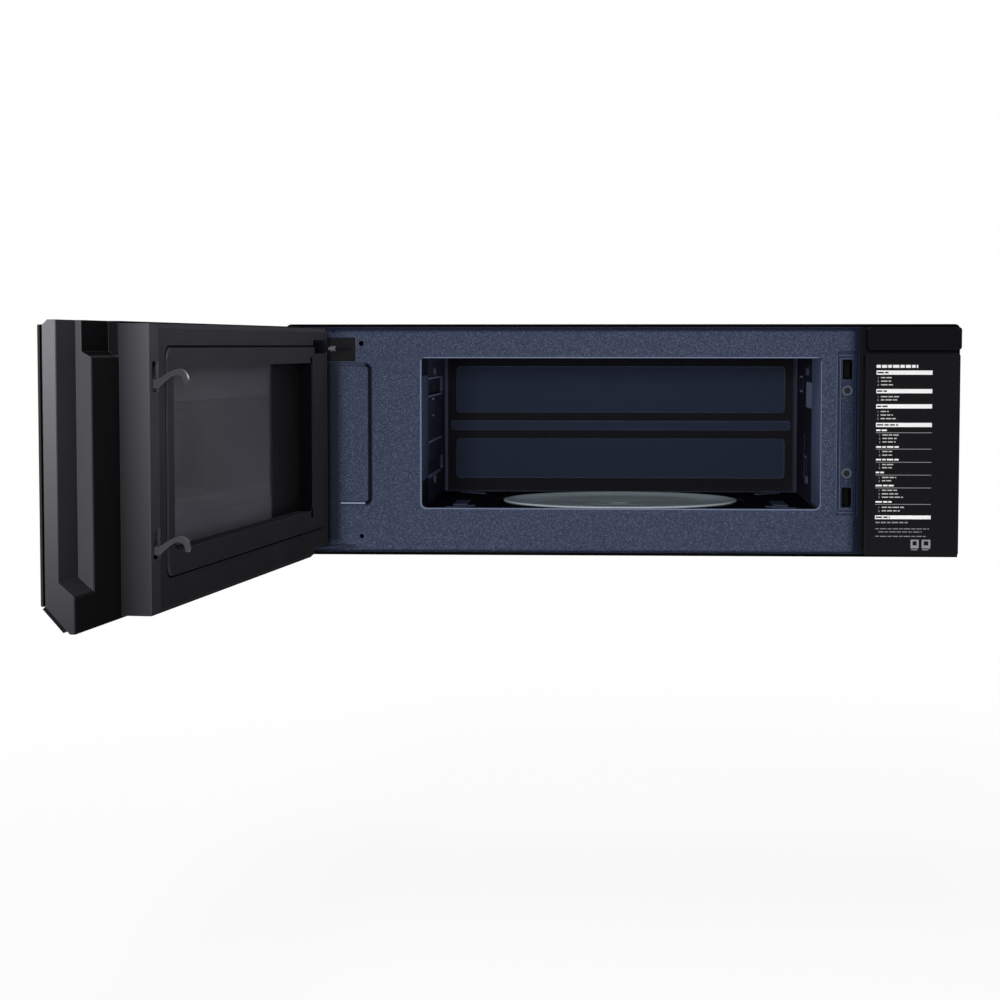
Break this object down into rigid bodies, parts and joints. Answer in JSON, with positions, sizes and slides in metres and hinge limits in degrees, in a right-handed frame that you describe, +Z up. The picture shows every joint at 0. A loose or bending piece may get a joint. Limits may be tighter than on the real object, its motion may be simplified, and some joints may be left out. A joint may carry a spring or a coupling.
{
  "type": "over the range microwave",
  "caption": "Slim over the range microwave with its full width door swung open: enamelled cavity, turntable, latch hooks and black side panel.",
  "frame": {"origin": "middle of the wall plate face that bears on the wall", "axes": "+Y into the wall, +X to the right seen from the front, +Z up; the front and the door face -Y"},
  "size_m": [0.8514, 1.1983, 0.262],
  "materials": {
    "black_steel": "black powder coat, satin",
    "zinc_steel": "galvanised sheet",
    "blue_enamel": "speckled blue grey enamel",
    "black_plastic": "fine satin moulding",
    "panel_plastic": "smooth black front",
    "dark_plastic": "moulded inner pieces",
    "front_glass": "tinted tempered glass",
    "inner_glass": "clear window film glass",
    "tray_glass": "clear greenish glass",
    "mica": "mica sheet",
    "copper": "windings and core",
    "aluminium": "bare aluminium",
    "board": "circuit board",
    "charcoal": "charcoal pad in its frame",
    "rubber": "foam rubber gasket",
    "steel": "plain steel",
    "screen_steel": "black perforated sheet",
    "light_lens": "frosted lens"
  },
  "bodies": {
    "cabinet": {"wall_plate": "zinc_steel", "outer_case": "black_steel", "base_plate": "black_steel", "back_plate": "zinc_steel", "front_frame": "blue_enamel", "cavity_liner": "blue_enamel", "turntable_motor": "zinc_steel", "waveguide_cover": "mica", "waveguide": "zinc_steel", "magnetron": "aluminium", "cavity_lamp": "dark_plastic", "transformer": "copper", "capacitor": "aluminium", "fan_shroud": "zinc_steel", "fan_motor": "zinc_steel", "control_board": "board", "cord_gland": "black_plastic", "blower_housing": "zinc_steel", "blower_motor": "zinc_steel", "exhaust_duct": "zinc_steel", "damper_frame": "zinc_steel", "top_grille": "black_plastic", "charcoal_filter": "charcoal", "light_board": "board", "interlock_bracket": "black_plastic", "interlock_switches": "dark_plastic", "bracket_screws": "steel", "panel_base": "black_plastic", "side_panel": "panel_plastic", "corner_block": "panel_plastic", "upper_hinge": "black_steel", "lower_hinge": "steel", "hinge_pins": "steel"},
    "door": {"door_inner_cover": "black_plastic", "door_choke_frame": "black_steel", "hinge_bushes": "dark_plastic", "door_inner_glass": "inner_glass", "door_screen": "screen_steel", "latch_guides": "dark_plastic", "latch_spring": "steel", "door_frame": "black_plastic", "door_glass": "front_glass", "glass_gasket": "rubber", "control_strip": "panel_plastic", "touch_board": "board"},
    "latch": {"latch_lever": "dark_plastic"},
    "turntable": {"turntable_tray": "tray_glass", "drive_coupler": "dark_plastic"},
    "ring": {"roller_ring": "dark_plastic"},
    "roller_a": {"roller_1": "dark_plastic"},
    "roller_b": {"roller_2": "dark_plastic"},
    "roller_c": {"roller_3": "dark_plastic"},
    "blower": {"blower_wheel": "dark_plastic"},
    "fan": {"fan_impeller": "dark_plastic"},
    "damper": {"damper_flap": "aluminium"},
    "left_filter": {"grease_filter_left": "aluminium"},
    "right_filter": {"grease_filter_right": "aluminium"},
    "lamp_cover": {"light_cover": "light_lens"},
    "upper_lever": {"upper_interlock_lever": "dark_plastic"},
    "lower_lever": {"lower_interlock_lever": "dark_plastic"}
  },
  "joints": [
    {"name": "door_hinge", "type": "hinge", "parent": "cabinet", "child": "door", "pos_m": [-0.3556, -0.4684, 0], "axis": [0, 0, 1], "range_deg": [0, 96.4]},
    {"name": "latch_lift", "type": "slide", "parent": "door", "child": "latch", "axis": [0, 0, 1], "range_m": [0, 0.0025], "stiffness_N_per_m": 400, "springref_m": -0.004, "deforming": ["latch_spring"]},
    {"name": "turntable_spin", "type": "hinge", "parent": "cabinet", "child": "turntable", "pos_m": [0, -0.24, -0.0947], "axis": [0, 0, 1], "continuous": true},
    {"name": "ring_spin", "type": "hinge", "parent": "cabinet", "child": "ring", "pos_m": [0, -0.24, -0.0947], "axis": [0, 0, 1], "continuous": true},
    {"name": "roller_a_spin", "type": "hinge", "parent": "ring", "child": "roller_a", "pos_m": [0, -0.13, -0.0947], "axis": [0, 1, 0], "continuous": true},
    {"name": "roller_b_spin", "type": "hinge", "parent": "ring", "child": "roller_b", "pos_m": [-0.09526, -0.295, -0.0947], "axis": [-0.866, -0.5, 0], "continuous": true},
    {"name": "roller_c_spin", "type": "hinge", "parent": "ring", "child": "roller_c", "pos_m": [0.09526, -0.295, -0.0947], "axis": [0.866, -0.5, 0], "continuous": true},
    {"name": "blower_spin", "type": "hinge", "parent": "cabinet", "child": "blower", "pos_m": [-0.303, -0.11, -0.037], "axis": [1, 0, 0], "continuous": true},
    {"name": "fan_spin", "type": "hinge", "parent": "cabinet", "child": "fan", "pos_m": [0.303, -0.079, -0.033], "axis": [0, -1, 0], "continuous": true},
    {"name": "damper_swing", "type": "hinge", "parent": "cabinet", "child": "damper", "pos_m": [0, -0.0308, 0.1215], "axis": [-1, 0, 0], "range_deg": [0, 75]},
    {"name": "left_filter_slide", "type": "slide", "parent": "cabinet", "child": "left_filter", "axis": [-1, 0, 0], "range_m": [0, 0.008]},
    {"name": "right_filter_slide", "type": "slide", "parent": "cabinet", "child": "right_filter", "axis": [1, 0, 0], "range_m": [0, 0.008]},
    {"name": "lamp_cover_swing", "type": "hinge", "parent": "cabinet", "child": "lamp_cover", "pos_m": [0, -0.3443, -0.126], "axis": [1, 0, 0], "range_deg": [0, 75]},
    {"name": "lower_lever_press", "type": "hinge", "parent": "cabinet", "child": "lower_lever", "pos_m": [0.2548, -0.4105, -0.055], "axis": [1, 0, 0], "range_deg": [0, 12], "stiffness_Nm_per_rad": 0.02},
    {"name": "upper_lever_press", "type": "hinge", "parent": "cabinet", "child": "upper_lever", "pos_m": [0.2548, -0.4105, 0.089], "axis": [1, 0, 0], "range_deg": [0, 12], "stiffness_Nm_per_rad": 0.02}
  ],
  "couplings": [
    {"joint": "ring_spin", "follows": "turntable_spin", "ratio": 0.5},
    {"joint": "roller_a_spin", "follows": "turntable_spin", "ratio": -9.1667},
    {"joint": "roller_b_spin", "follows": "turntable_spin", "ratio": -9.1667},
    {"joint": "roller_c_spin", "follows": "turntable_spin", "ratio": -9.1667}
  ]
}
